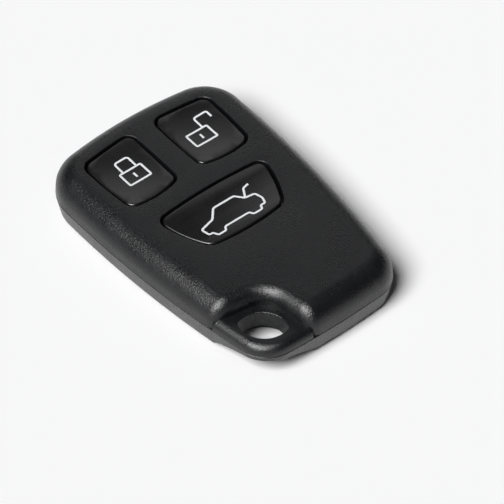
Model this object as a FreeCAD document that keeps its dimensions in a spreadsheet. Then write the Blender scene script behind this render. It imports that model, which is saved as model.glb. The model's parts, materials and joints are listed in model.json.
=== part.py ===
import FreeCAD, Part
import functools
import math
import os
import Sketcher

# Remote key fob with three push buttons and a key-ring eye in one corner.
# Millimetres. +X to the right across the fob, +Y towards the button end, +Z out of
# the button face. The origin is under the middle of the plan, on the resting face.

SIZES = {
    # Case outline at the parting line: four crowned sides and four rounded corners
    "length": 60.0,
    "width": 40.0,
    "widest_y": 15.8,
    "side_radius": 222.0,
    "top_radius": 86.0,
    "bottom_radius": 170.0,
    "top_corner": 8.35,
    "bottom_corner": 6.3,
    # Case section
    "height": 10.75,
    "parting": 5.33,
    "top_draft": 4.0,
    "base_draft": 10.4,
    "shoulder_radius": 4.2,
    "base_round": 2.25,
    "wall": 1.8,
    "top_wall": 1.5,
    "floor_wall": 1.4,
    "ceiling_round": 2.4,
    "seam_bevel": 0.12,
    "opening_edge": 0.12,
    # Tongue on the lower case and its rebate in the upper case
    "tongue_thickness": 0.75,
    "tongue_height": 0.8,
    "tongue_gap": 0.1,
    # Key-ring eye: an almond-shaped hole across the corner, in a low loop that is left where
    # the case is scooped away above it and hollowed below it. Its middle is given in from the
    # left side and from the lower end.
    "eye_x": 8.9,
    "eye_y": 6.45,
    "eye_turn": -45.0,
    "eye_half_wide": 2.95,
    "eye_side_radius": 4.91,
    "eye_end_radius": 1.0,
    "eye_rim": 0.15,
    "scoop_radius": 4.7,
    "scoop_flare": 36.0,
    "scoop_wall": 2.6,
    "lip_radius": 2.4,
    "loop_top": 7.5,
    "loop_round": 1.6,
    "loop_overlap": 0.2,
    "relief_top": 4.2,
    "relief_radius": 15.5,
    "relief_back": 6.2,
    "relief_edge": 0.2,
    # Openings for the two upper buttons, mirror images of each other
    "key_inner_x": 2.15,
    "key_inner_y": 18.0,
    "key_inner_radius": 150.0,
    "key_outer_x": 14.2,
    "key_outer_y": 20.5,
    "key_outer_radius": 80.0,
    "key_top_inset": 5.25,
    "key_bottom_x": 8.6,
    "key_bottom_y": 9.27,
    "key_bottom_radius": 18.25,
    "key_inner_low_corner": 1.9,
    "key_inner_high_corner": 2.1,
    "key_outer_high_corner": 2.3,
    "key_outer_low_corner": 2.3,
    # Opening for the wide boot button
    "boot_top_y": 5.67,
    "boot_top_radius": 100.0,
    "boot_side_x": 12.25,
    "boot_side_y": 7.75,
    "boot_side_radius": 25.25,
    "boot_bottom_y": -6.75,
    "boot_bottom_radius": 48.0,
    "boot_high_corner": 2.0,
    "boot_low_corner": 3.0,
    # Buttons
    "button_gap": 0.45,
    "flange_over": 0.75,
    "flange_thickness": 0.75,
    "flange_clearance": 0.05,
    "button_edge": 0.3,
    "key_dish_radius": 80.0,
    "key_dish_depth": 0.5,
    "boot_dish_radius": 62.0,
    "boot_dish_depth": 0.32,
    "key_switch_x": 8.2,
    "key_switch_y": 16.5,
    "boot_switch_y": -0.5,
    # Silicone mat under the buttons, ending below the opening of the boot button
    "mat_inset": 2.95,
    "mat_sheet": 0.6,
    "mat_skirt": 1.2,
    "mat_end_y": 2.75,
    "mat_boss_radius": 1.8,
    "mat_boss_gap": 0.05,
    # Circuit board and its posts, which stand in from the nearest side and end
    "board_inset": 3.0,
    "board_eye_gap": 0.4,
    "board_thickness": 1.0,
    "post_radius": 1.5,
    "pin_radius": 0.7,
    "pin_gap": 0.1,
    "pin_proud": 0.4,
    "high_post_x": 6.8,
    "high_post_y": 7.7,
    "low_post_x": 9.5,
    "low_post_y": 6.0,
    "side_post_x": 6.6,
    "side_post_y": 21.0,
    # Tactile switches
    "switch_side": 4.5,
    "switch_tall": 1.5,
    "switch_chamfer": 0.4,
    "plunger_radius": 1.0,
    "plunger_gap": 0.05,
    "plunger_proud": 0.4,
    "plunger_seat": 0.5,
    "plunger_travel": 0.25,
    "plunger_stop": 0.05,
    "plunger_edge": 0.12,
    # Coin cell and its cradle, in from the lower end
    "cell_x": 3.0,
    "cell_y": 21.0,
    "cell_radius": 10.0,
    "cell_tall": 1.6,
    "cell_cap_radius": 8.8,
    "cell_cap_step": 0.2,
    "cell_edge": 0.25,
    "cradle_gap": 0.2,
    "cradle_wall": 0.8,
    "cradle_tall": 1.1,
    "seat_radius": 8.0,
    "seat_tall": 0.3,
    # Battery contacts
    "strip": 0.25,
    "strap_gap": 0.02,
    "strap_angle": 70.0,
    "strap_foot": 1.8,
    "strap_turn": 100.0,
    "leaf_width": 4.0,
    "leaf_base": 3.0,
    "leaf_run": 3.5,
    "leaf_pad": 1.2,
    # Snap hooks of the upper case and their pockets in the lower one
    "hook_width": 4.0,
    "hook_thickness": 0.8,
    "hook_gap": 0.1,
    "hook_bottom": 3.3,
    "hook_root": 0.4,
    "barb_tall": 0.9,
    "barb_ramp": 0.6,
    "barb_reach": 0.45,
    "barb_gap": 0.15,
    "end_hook_x": 5.0,
    # Loop antenna, a flat strip on the board: its left side from the eye's middle, the
    # others in from the right side and the lower end
    "antenna_left": 9.6,
    "antenna_right": 7.5,
    "antenna_top": 17.0,
    "antenna_bottom": 9.0,
    "antenna_strip": 1.0,
    "antenna_tall": 0.6,
}

# Heights and places that follow from those sizes
FOLLOWS = {
    "mat_top": "sizes.height - sizes.top_wall - sizes.flange_clearance - sizes.flange_thickness",
    "cell_bottom": "sizes.floor_wall + sizes.seat_tall",
    "cell_top": "cell_bottom + sizes.cell_tall",
    # The board leaves the same room for the contacts under it and the bosses over it
    "board_bottom": "(cell_top + mat_top - sizes.mat_sheet - sizes.mat_boss_gap - sizes.plunger_proud"
                    " - sizes.switch_tall - sizes.board_thickness) / 2",
    "board_top": "board_bottom + sizes.board_thickness",
    "switch_tip": "board_top + sizes.switch_tall + sizes.plunger_proud",
    "eye_reach": "sizes.eye_x + sizes.eye_y",
    "eye_middle_x": "sizes.eye_x - sizes.width / 2",
    "eye_middle_y": "sizes.eye_y - sizes.length / 2",
    "relief_axis": "sizes.relief_top - sizes.relief_radius",
    "cell_middle_y": "sizes.cell_y - sizes.length / 2",
}

# Parts soldered to the board: middle, long in x, wide in y, tall, and legs on a side. The
# middle's y is in from the upper end for those under the board and from the lower end for
# those on it.
COMPONENTS = {
    "controller_chip": {
        "x": -6.5, "y": 17.5, "long": 6.6, "wide": 4.4, "tall": 1.1, "legs": 7, "under": True},
    "transmitter_chip": {
        "x": 6.0, "y": 17.5, "long": 3.2, "wide": 3.0, "tall": 0.9, "legs": 4, "under": True},
    "memory_chip": {
        "x": 0.5, "y": 9.5, "long": 3.0, "wide": 2.4, "tall": 0.9, "legs": 3, "under": True},
    "crystal": {
        "x": 6.5, "y": 11.5, "long": 3.2, "wide": 2.5, "tall": 0.8, "legs": 0, "under": True},
    "resonator": {
        "x": 12.0, "y": 20.0, "long": 3.8, "wide": 3.0, "tall": 1.2, "legs": 0, "under": True},
    "trimmer_capacitor": {
        "x": 5.5, "y": 13.0, "long": 3.0, "wide": 2.2, "tall": 1.0, "legs": 0, "under": False},
    "power_transistor": {
        "x": -6.0, "y": 18.5, "long": 2.9, "wide": 1.3, "tall": 0.9, "legs": 2, "under": False},
}
LEG = {"wide": 0.35, "reach": 0.6, "tall": 0.2, "pitch": 0.8}
# Small chip parts in two rows under the board, whose first y is in from the upper end
CHIP = {"long": 1.6, "wide": 0.8, "tall": 0.5, "pitch": 1.6, "bevel": 0.1}
ROWS = {
    "chip_resistors": {"x": -12.5, "y": 23.5, "count": 6},
    "chip_capacitors": {"x": 12.8, "y": 33.0, "count": 5},
}

SWITCHES = (
    ("lock", "-sizes.key_switch_x", "sizes.key_switch_y"),
    ("unlock", "sizes.key_switch_x", "sizes.key_switch_y"),
    ("boot", "0", "sizes.boot_switch_y"),
)
POSTS = (
    ("sizes.width / 2 - sizes.high_post_x", "sizes.length / 2 - sizes.high_post_y"),
    ("sizes.high_post_x - sizes.width / 2", "sizes.length / 2 - sizes.high_post_y"),
    ("sizes.width / 2 - sizes.low_post_x", "sizes.low_post_y - sizes.length / 2"),
    ("sizes.side_post_x - sizes.width / 2", "sizes.side_post_y - sizes.length / 2"),
)

doc = FreeCAD.newDocument("key_fob")


def fill_sheet():
    """Put every driving size in the sheet under its own name."""
    table = doc.addObject("Spreadsheet::Sheet", "sizes")
    values = dict(SIZES)
    groups = dict(COMPONENTS, leg=LEG, chip=CHIP, **ROWS)
    for label, numbers in groups.items():
        for key, number in numbers.items():
            if key not in ("legs", "under", "count"):
                values[label + "_" + key] = number
    for line, (alias, number) in enumerate(values.items(), start=1):
        table.set("A%d" % line, alias.replace("_", " "))
        table.set("B%d" % line, str(number))
        table.setAlias("B%d" % line, alias)
    doc.recompute()
    return table


def fill_places():
    """Keep what follows from the sizes as a set of values that are bound to the sheet."""
    values = doc.addObject("App::VarSet", "places")
    for name, formula in FOLLOWS.items():
        values.addProperty("App::PropertyFloat", name)
        values.setExpression(name, formula)
    doc.recompute()
    return values


sizes = fill_sheet()
places = fill_places()


def value(expression):
    """The number that an expression of sizes and places gives now."""
    found = sizes.evalExpression(expression)
    return float(getattr(found, "Value", found))


def bind(item, **expressions):
    """Tie properties to expressions; a double underscore in a name stands for a dot."""
    for name, expression in expressions.items():
        item.setExpression(name.replace("__", "."), expression)


def new_body(label):
    body = doc.addObject("PartDesign::Body", label)
    body.Label = label
    return body


def origin_item(body, role):
    return next(item for item in body.Origin.OriginFeatures if item.Role == role)


def new_sketch(body, name, role="XY_Plane", offset="0"):
    """A sketch on an origin plane of its own body, moved along the plane's normal."""
    sketch = body.newObject("Sketcher::SketchObject", name)
    sketch.AttachmentSupport = [(origin_item(body, role), "")]
    sketch.MapMode = "FlatFace"
    bind(sketch, AttachmentOffset__Base__z=offset)
    return sketch


def fix(sketch, kind, geometry, point, expression):
    """Hold one coordinate of a point at an expression; zero puts it on the axis."""
    number = value(expression)
    if abs(number) < 1e-9:
        axis = -2 if kind == "DistanceX" else -1
        sketch.addConstraint(Sketcher.Constraint("PointOnObject", geometry, point, axis))
        return
    index = sketch.addConstraint(Sketcher.Constraint(kind, -1, 1, geometry, point, number))
    sketch.setExpression("Constraints[%d]" % index, expression)


def fix_size(sketch, kind, geometry, expression):
    index = sketch.addConstraint(Sketcher.Constraint(kind, geometry, value(expression)))
    sketch.setExpression("Constraints[%d]" % index, expression)


def polygon(sketch, corners):
    """A closed outline of straight lines whose corners are expressions."""
    points = [FreeCAD.Vector(value(x), value(y), 0) for x, y in corners]
    lines = [Part.LineSegment(points[i], points[(i + 1) % len(points)]) for i in range(len(points))]
    first = sketch.addGeometry(lines, False)[0]
    for i, (x, y) in enumerate(corners):
        following = first + (i + 1) % len(points)
        sketch.addConstraint(Sketcher.Constraint("Coincident", first + i, 2, following, 1))
        fix(sketch, "DistanceX", first + i, 1, x)
        fix(sketch, "DistanceY", first + i, 1, y)


def circle(sketch, x, y, radius):
    centre = FreeCAD.Vector(value(x), value(y), 0)
    index = sketch.addGeometry(Part.Circle(centre, FreeCAD.Vector(0, 0, 1), value(radius)), False)
    fix(sketch, "DistanceX", index, 3, x)
    fix(sketch, "DistanceY", index, 3, y)
    fix_size(sketch, "Radius", index, radius)


def corner_middle(one, two, radius, towards):
    """Middle of the round that touches two crowned sides, on the side given by towards."""
    (ax, ay, ar), (bx, by, br) = one, two
    ar, br = ar - radius, br - radius
    gap = math.hypot(bx - ax, by - ay)
    along = (ar ** 2 - br ** 2 + gap ** 2) / (2 * gap)
    across = math.sqrt(max(ar ** 2 - along ** 2, 0.0))
    ux, uy = (bx - ax) / gap, (by - ay) / gap
    choices = [(ax + along * ux - side * across * uy, ay + along * uy + side * across * ux)
               for side in (-1, 1)]
    return max(choices, key=lambda p: p[0] * towards[0] + p[1] * towards[1])


def crowned_outline(sketch, sides, corners, inset="0"):
    """Closed outline of four crowned sides, right, top, left and bottom, each given by its
    middle and radius, with the rounds between them. It lies inset inside those sizes."""
    ways = ((1, 1), (-1, 1), (-1, -1), (1, -1))
    arcs = [(value(x), value(y), value(r + " - (" + inset + ")")) for x, y, r in sides]
    rounds = []
    for i, radius in enumerate(corners):
        size = value(radius + " - (" + inset + ")")
        rounds.append(corner_middle(arcs[i], arcs[(i + 1) % 4], size, ways[i]) + (size,))

    def bearing(centre, point):
        return math.atan2(point[1] - centre[1], point[0] - centre[0])

    indexes = []
    for i in range(4):
        start = bearing(arcs[i], rounds[i - 1])
        stop = bearing(arcs[i], rounds[i])
        following = bearing(arcs[(i + 1) % 4], rounds[i])
        for (x, y, r), low, high in ((arcs[i], start, stop), (rounds[i], stop, following)):
            base = Part.Circle(FreeCAD.Vector(x, y, 0), FreeCAD.Vector(0, 0, 1), r)
            while high < low:
                high += 2 * math.pi
            indexes.append(sketch.addGeometry(Part.ArcOfCircle(base, low, high), False))
    for i in range(8):
        joint = Sketcher.Constraint("Tangent", indexes[i], 2, indexes[(i + 1) % 8], 1)
        sketch.addConstraint(joint)
    for i in range(4):
        x, y, r = sides[i]
        fix(sketch, "DistanceX", indexes[2 * i], 3, x)
        fix(sketch, "DistanceY", indexes[2 * i], 3, y)
        fix_size(sketch, "Radius", indexes[2 * i], r + " - (" + inset + ")")
        fix_size(sketch, "Radius", indexes[2 * i + 1], corners[i] + " - (" + inset + ")")


def case_outline(sketch, inset="0"):
    """The fob's plan outline, or a line that lies inset inside it."""
    side = "sizes.width / 2 - sizes.side_radius"
    sides = (
        (side, "sizes.widest_y", "sizes.side_radius"),
        ("0", "sizes.length / 2 - sizes.top_radius", "sizes.top_radius"),
        ("-(" + side + ")", "sizes.widest_y", "sizes.side_radius"),
        ("0", "sizes.bottom_radius - sizes.length / 2", "sizes.bottom_radius"),
    )
    corners = ("sizes.top_corner", "sizes.top_corner", "sizes.bottom_corner", "sizes.bottom_corner")
    crowned_outline(sketch, sides, corners, inset)


def key_outline(sketch, inset="0", hand=1):
    """Opening of an upper button: hand is -1 on the left and 1 on the right."""
    sign = "%d * " % hand
    inner = (sign + "(sizes.key_inner_x + sizes.key_inner_radius)",
             "sizes.key_inner_y", "sizes.key_inner_radius")
    outer = (sign + "(sizes.key_outer_x - sizes.key_outer_radius)",
             "sizes.key_outer_y", "sizes.key_outer_radius")
    top = ("0", "sizes.length / 2 - sizes.top_radius", "sizes.top_radius - sizes.key_top_inset")
    bottom = (sign + "sizes.key_bottom_x", "sizes.key_bottom_y + sizes.key_bottom_radius",
              "sizes.key_bottom_radius")
    high_inner, low_inner = "sizes.key_inner_high_corner", "sizes.key_inner_low_corner"
    high_outer, low_outer = "sizes.key_outer_high_corner", "sizes.key_outer_low_corner"
    if hand < 0:
        sides = (inner, top, outer, bottom)
        corners = (high_inner, high_outer, low_outer, low_inner)
    else:
        sides = (outer, top, inner, bottom)
        corners = (high_outer, high_inner, low_inner, low_outer)
    crowned_outline(sketch, sides, corners, inset)


def boot_outline(sketch, inset="0"):
    """Opening of the wide button: a trapezium with bowed sides."""
    side = "sizes.boot_side_x - sizes.boot_side_radius"
    sides = (
        (side, "sizes.boot_side_y", "sizes.boot_side_radius"),
        ("0", "sizes.boot_top_y - sizes.boot_top_radius", "sizes.boot_top_radius"),
        ("-(" + side + ")", "sizes.boot_side_y", "sizes.boot_side_radius"),
        ("0", "sizes.boot_bottom_y + sizes.boot_bottom_radius", "sizes.boot_bottom_radius"),
    )
    corners = ("sizes.boot_high_corner", "sizes.boot_high_corner",
               "sizes.boot_low_corner", "sizes.boot_low_corner")
    crowned_outline(sketch, sides, corners, inset)


OUTLINES = {
    "lock": functools.partial(key_outline, hand=-1),
    "unlock": functools.partial(key_outline, hand=1),
    "boot": boot_outline,
}


def eye_sketch(body, name, height):
    """An empty sketch whose origin is the middle of the eye, turned with its long way."""
    sketch = new_sketch(body, name, offset=height)
    bind(sketch, AttachmentOffset__Base__x="places.eye_middle_x",
         AttachmentOffset__Base__y="places.eye_middle_y",
         AttachmentOffset__Rotation__Angle="sizes.eye_turn")
    return sketch


def eye_scoop(sketch, radius):
    """Scoop round the eye: a round back that flares out to both sides of the corner."""
    size, reach = value(radius), value("places.eye_reach")
    flare = math.radians(value("sizes.scoop_flare"))
    touch = FreeCAD.Vector(size * math.sin(flare), size * math.cos(flare), 0)
    fall = touch.y - (reach - touch.x) * math.tan(flare)
    back = Part.Circle(FreeCAD.Vector(0, 0, 0), FreeCAD.Vector(0, 0, 1), size)
    quarter = math.pi / 2

    def line(x1, y1, x2, y2):
        return Part.LineSegment(FreeCAD.Vector(x1, y1, 0), FreeCAD.Vector(x2, y2, 0))

    parts = [
        Part.ArcOfCircle(back, quarter - flare, quarter + flare),
        line(-touch.x, touch.y, -reach, fall),
        line(-reach, fall, -reach, -reach),
        line(-reach, -reach, reach, -reach),
        line(reach, -reach, reach, fall),
        line(reach, fall, touch.x, touch.y),
    ]
    arc, side_l, edge_l, foot, edge_r, side_r = sketch.addGeometry(parts, False)
    add = sketch.addConstraint
    add(Sketcher.Constraint("Tangent", arc, 2, side_l, 1))
    add(Sketcher.Constraint("Tangent", side_r, 2, arc, 1))
    for one, two in ((side_l, edge_l), (edge_l, foot), (foot, edge_r), (edge_r, side_r)):
        add(Sketcher.Constraint("Coincident", one, 2, two, 1))
    add(Sketcher.Constraint("Vertical", edge_l))
    add(Sketcher.Constraint("Vertical", edge_r))
    add(Sketcher.Constraint("Horizontal", foot))
    fix(sketch, "DistanceX", arc, 3, "0")
    fix(sketch, "DistanceY", arc, 3, "0")
    fix_size(sketch, "Radius", arc, radius)
    fix(sketch, "DistanceX", edge_l, 1, "-places.eye_reach")
    fix(sketch, "DistanceX", edge_r, 1, "places.eye_reach")
    fix(sketch, "DistanceY", foot, 1, "-places.eye_reach")
    slope = add(Sketcher.Constraint("Angle", side_l, flare - math.pi))
    sketch.setExpression("Constraints[%d]" % slope, "sizes.scoop_flare - 180")
    slope = add(Sketcher.Constraint("Angle", side_r, math.pi - flare))
    sketch.setExpression("Constraints[%d]" % slope, "180 - sizes.scoop_flare")


def eye_almond(sketch):
    """The hole itself: two bowed sides that meet in small round ends."""
    side, end = value("sizes.eye_side_radius"), value("sizes.eye_end_radius")
    bow = side - value("sizes.eye_half_wide")
    half = math.sqrt((side - end) ** 2 - bow ** 2)
    up, lean = FreeCAD.Vector(0, 0, 1), math.atan2(bow, half)
    far = Part.Circle(FreeCAD.Vector(0, -bow, 0), up, side)
    near = Part.Circle(FreeCAD.Vector(0, bow, 0), up, side)
    right = Part.Circle(FreeCAD.Vector(half, 0, 0), up, end)
    left = Part.Circle(FreeCAD.Vector(-half, 0, 0), up, end)
    parts = [
        Part.ArcOfCircle(right, -lean, lean),
        Part.ArcOfCircle(far, lean, math.pi - lean),
        Part.ArcOfCircle(left, math.pi - lean, math.pi + lean),
        Part.ArcOfCircle(near, math.pi + lean, 2 * math.pi - lean),
    ]
    ring = sketch.addGeometry(parts, False)
    for i in range(4):
        sketch.addConstraint(Sketcher.Constraint("Tangent", ring[i], 2, ring[(i + 1) % 4], 1))
    for index, sign in ((ring[1], "-"), (ring[3], "")):
        fix(sketch, "DistanceX", index, 3, "0")
        fix(sketch, "DistanceY", index, 3, sign + "(sizes.eye_side_radius - sizes.eye_half_wide)")
        fix_size(sketch, "Radius", index, "sizes.eye_side_radius")
    fix_size(sketch, "Radius", ring[0], "sizes.eye_end_radius")
    fix_size(sketch, "Radius", ring[2], "sizes.eye_end_radius")


def pad(body, name, sketch, length, downwards=False, taper="0", both_ways=False):
    feature = body.newObject("PartDesign::Pad", name)
    feature.Profile = sketch
    feature.Reversed = downwards
    feature.Midplane = both_ways
    bind(feature, Length=length, TaperAngle=taper)
    doc.recompute()
    return feature


def pocket(body, name, sketch, length, upwards=False, both_ways=False):
    """Cut a sketch out of the body; a cut that removes nothing stops the script."""
    before = body.Shape.Volume
    feature = body.newObject("PartDesign::Pocket", name)
    feature.Profile = sketch
    feature.Reversed = upwards
    feature.Midplane = both_ways
    bind(feature, Length=length)
    doc.recompute()
    if body.Shape.Volume > before - 1e-6:
        raise RuntimeError(name + " cuts nothing")
    return feature


def edges_where(body, test):
    """Names of the body's present edges that pass a test."""
    return ["Edge%d" % (i + 1) for i, edge in enumerate(body.Shape.Edges) if test(edge)]


def at_height(edge, height):
    return all(abs(z - height) < 1e-4 for z in (edge.BoundBox.ZMin, edge.BoundBox.ZMax))


def dress(body, kind, name, test, size, prop="Radius"):
    """A fillet, or a chamfer with prop Size, on the edges of the body that pass the test."""
    names = edges_where(body, test)
    if not names:
        raise RuntimeError(name + " finds no edges")
    base = body.Tip
    feature = body.newObject("PartDesign::" + kind, name)
    feature.Base = (base, names)
    bind(feature, **{prop: size})
    doc.recompute()
    return feature


def join_body(body, name, tool, kind):
    """Cut, Fuse or Common with another body's solid."""
    feature = body.newObject("PartDesign::Boolean", name)
    feature.Type = kind
    feature.setObjects([tool])
    doc.recompute()
    return body


def middle_of(edge):
    return edge.valueAt((edge.FirstParameter + edge.LastParameter) / 2)


def is_new(edge, before):
    """Whether none of the edges whose middles were noted before lies where this one does."""
    point = middle_of(edge)
    return all(point.distanceToPoint(other) > 1e-3 for other in before)


def upright(edge):
    return edge.BoundBox.XLength < 1e-4 and edge.BoundBox.YLength < 1e-4


def inside_outline(point):
    """How far a point lies inside the case's crowned sides, rounds left out."""
    side, top, low = value("sizes.side_radius"), value("sizes.top_radius"), value("sizes.bottom_radius")
    half_wide, half_long = value("sizes.width / 2"), value("sizes.length / 2")
    return min(
        side - math.hypot(abs(point.x) + side - half_wide, point.y - value("sizes.widest_y")),
        top - math.hypot(point.x, point.y + top - half_long),
        low - math.hypot(point.x, point.y - low + half_long),
    )


def eye_place(point):
    """A point's place along and across the eye."""
    turn = math.radians(value("sizes.eye_turn"))
    dx, dy = point.x - value("places.eye_middle_x"), point.y - value("places.eye_middle_y")
    return dx * math.cos(turn) + dy * math.sin(turn), dy * math.cos(turn) - dx * math.sin(turn)


def beside_scoop(point, radius="sizes.scoop_radius"):
    """Whether a point lies in the plane or round of the scoop's wall."""
    along, across = eye_place(point)
    along, size = abs(along), value(radius)
    flare = math.radians(value("sizes.scoop_flare"))
    touch_x, touch_y = size * math.sin(flare), size * math.cos(flare)
    if along <= touch_x:
        return abs(math.hypot(along, across) - size) < 1e-3
    return abs(across - touch_y + (along - touch_x) * math.tan(flare)) < 1e-3


def on_scoop_wall(edge):
    """Whether an edge runs along the top or an end of the scoop's wall."""
    inner = at_height(edge, value("sizes.parting")) or upright(edge)
    return not inner and beside_scoop(middle_of(edge))


def on_rim(edge):
    """Whether an edge at the parting line is on the outside of the case."""
    deepest = max(value("sizes.top_corner"), value("sizes.bottom_corner")) * (1 - math.sqrt(0.5))
    point = middle_of(edge)
    outer = inside_outline(point) < deepest and not beside_scoop(point)
    return outer and at_height(edge, value("sizes.parting"))


def upper_hollow():
    """The space inside the upper case, with the rebate for the tongue round its mouth."""
    body = new_body("upper_hollow")
    sketch = new_sketch(body, "upper_hollow_outline", offset="sizes.parting")
    case_outline(sketch, "sizes.wall")
    pad(body, "upper_hollow_room", sketch, "sizes.height - sizes.top_wall - sizes.parting")
    ceiling = value("sizes.height - sizes.top_wall")
    dress(body, "Fillet", "upper_hollow_round", lambda e: at_height(e, ceiling), "sizes.ceiling_round")
    sketch = new_sketch(body, "upper_rebate_outline", offset="sizes.parting")
    case_outline(sketch, "sizes.wall - sizes.tongue_thickness - sizes.tongue_gap")
    pad(body, "upper_rebate", sketch, "sizes.tongue_height + sizes.tongue_gap")
    keep_eye_solid(body, "upper_hollow_eye", "sizes.parting", "sizes.height")
    return body


def lower_hollow():
    """The space inside the lower case."""
    body = new_body("lower_hollow")
    sketch = new_sketch(body, "lower_hollow_outline", offset="sizes.floor_wall")
    case_outline(sketch, "sizes.wall")
    pad(body, "lower_hollow_room", sketch, "sizes.parting - sizes.floor_wall")
    keep_eye_solid(body, "lower_hollow_eye", "sizes.floor_wall", "sizes.height")
    return body


def keep_eye_solid(body, name, low, tall, wall="sizes.scoop_wall"):
    """Take the scoop and the wall behind it out of a space or a piece inside the case."""
    sketch = eye_sketch(body, name + "_outline", low)
    eye_scoop(sketch, "sizes.scoop_radius + " + wall)
    pocket(body, name, sketch, tall, upwards=True)


HOOKS = {
    # Plane of the profile, its place along that plane's normal, the wall's inner face less
    # its bow over the hook's width, and which way the hook looks along the plane's first axis
    "side": ("XZ_Plane", "-sizes.widest_y",
             "sizes.width / 2 - sizes.wall - sizes.hook_width ^ 2 / (8 * sizes.side_radius)", 1),
    "far": ("YZ_Plane", "0",
            "sizes.length / 2 - sizes.wall - sizes.hook_width ^ 2 / (8 * sizes.top_radius)", 1),
    "near": ("YZ_Plane", "sizes.end_hook_x",
             "sizes.length / 2 - sizes.wall - (sizes.end_hook_x + sizes.hook_width / 2) ^ 2"
             " / (2 * sizes.bottom_radius)", -1),
}


def hook_profile(sketch, wall, way):
    """A snap hook: a blade down from the ceiling with a barb at its foot."""
    face = "(" + wall + " - sizes.hook_gap)"
    back = "(" + face + " - sizes.hook_thickness)"
    tip = "(" + face + " + sizes.barb_reach)"
    ceiling = "sizes.height - sizes.top_wall + sizes.hook_root"
    corners = [
        (back, ceiling), (back, "sizes.hook_bottom"), (face, "sizes.hook_bottom"),
        (tip, "sizes.hook_bottom + sizes.barb_ramp"),
        (tip, "sizes.hook_bottom + sizes.barb_tall"),
        (face, "sizes.hook_bottom + sizes.barb_tall"), (face, ceiling),
    ]
    polygon(sketch, [("%d * %s" % (way, x), z) for x, z in corners])


def catch_profile(sketch, wall, way):
    """The pocket in the wall that a barb snaps into."""
    inner = "(" + wall + " - sizes.hook_thickness)"
    outer = "(" + wall + " - sizes.hook_gap + sizes.barb_reach + sizes.barb_gap)"
    low = "sizes.hook_bottom - sizes.barb_gap"
    high = "sizes.hook_bottom + sizes.barb_tall + sizes.barb_gap"
    corners = [(inner, high), (inner, low), (outer, low), (outer, high)]
    polygon(sketch, [("%d * %s" % (way, x), z) for x, z in corners])


def mirror_across(body, name, original):
    """Repeat a feature on the other side of the fob's middle plane."""
    feature = body.newObject("PartDesign::Mirrored", name)
    feature.Originals = [original]
    feature.MirrorPlane = (origin_item(body, "YZ_Plane"), [""])
    body.Tip = feature
    doc.recompute()


def make_block(body, name, level, draft, rounding):
    """The case's outline from the parting line to a level, with a round edge."""
    sketch = new_sketch(body, name + "_outline", offset="sizes.parting")
    case_outline(sketch)
    height = value(level)
    pad(body, name + "_block", sketch, "abs(%s - sizes.parting)" % level,
        downwards=height < value("sizes.parting"), taper="-" + draft)
    dress(body, "Fillet", name + "_round", lambda e: at_height(e, height), rounding)


def bevel_seam(body, name):
    dress(body, "Chamfer", name, on_rim, "sizes.seam_bevel", prop="Size")


def make_loop():
    """The upper half of the low loop round the eye."""
    body = new_body("eye_loop")
    make_block(body, "loop", "sizes.loop_top", "sizes.top_draft", "sizes.loop_round")
    bevel_seam(body, "loop_seam")
    region = new_body("loop_region")
    sketch = eye_sketch(region, "loop_region_outline", "0")
    eye_scoop(sketch, "sizes.scoop_radius + sizes.loop_overlap")
    pad(region, "loop_region_block", sketch, "sizes.height")
    return join_body(body, "loop_in_corner", region, "Common")


def make_relief():
    """The hollow under the loop: an arch along the corner's diagonal, with a wall behind it."""
    body = new_body("corner_relief")
    sketch = new_sketch(body, "relief_arch", "XZ_Plane")
    sketch.AttachmentOffset = FreeCAD.Placement(
        FreeCAD.Vector(), FreeCAD.Rotation(FreeCAD.Vector(0, 1, 0), value("sizes.eye_turn")))
    bind(sketch, AttachmentOffset__Rotation__Angle="sizes.eye_turn",
         AttachmentOffset__Base__x="places.eye_middle_x", AttachmentOffset__Base__z="-places.eye_middle_y")
    circle(sketch, "0", "places.relief_axis", "sizes.relief_radius")
    pad(body, "relief_barrel", sketch, "2 * sizes.length", both_ways=True)
    region = new_body("relief_region")
    sketch = eye_sketch(region, "relief_region_outline", "0")
    eye_scoop(sketch, "sizes.relief_back")
    pad(region, "relief_region_block", sketch, "sizes.parting")
    return join_body(body, "relief_in_corner", region, "Common")


def on_relief_edge(edge):
    """Whether an edge runs where the arch under the loop comes out of the case's side."""
    point = middle_of(edge)
    spread = math.hypot(eye_place(point)[0], point.z - value("places.relief_axis"))
    on_arch = abs(spread - value("sizes.relief_radius")) < 1e-3
    return on_arch and not beside_scoop(point, "sizes.relief_back")


def cut_eye(body, name):
    sketch = eye_sketch(body, name + "_outline", "0")
    eye_almond(sketch)
    pocket(body, name, sketch, "sizes.height", upwards=True)


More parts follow.
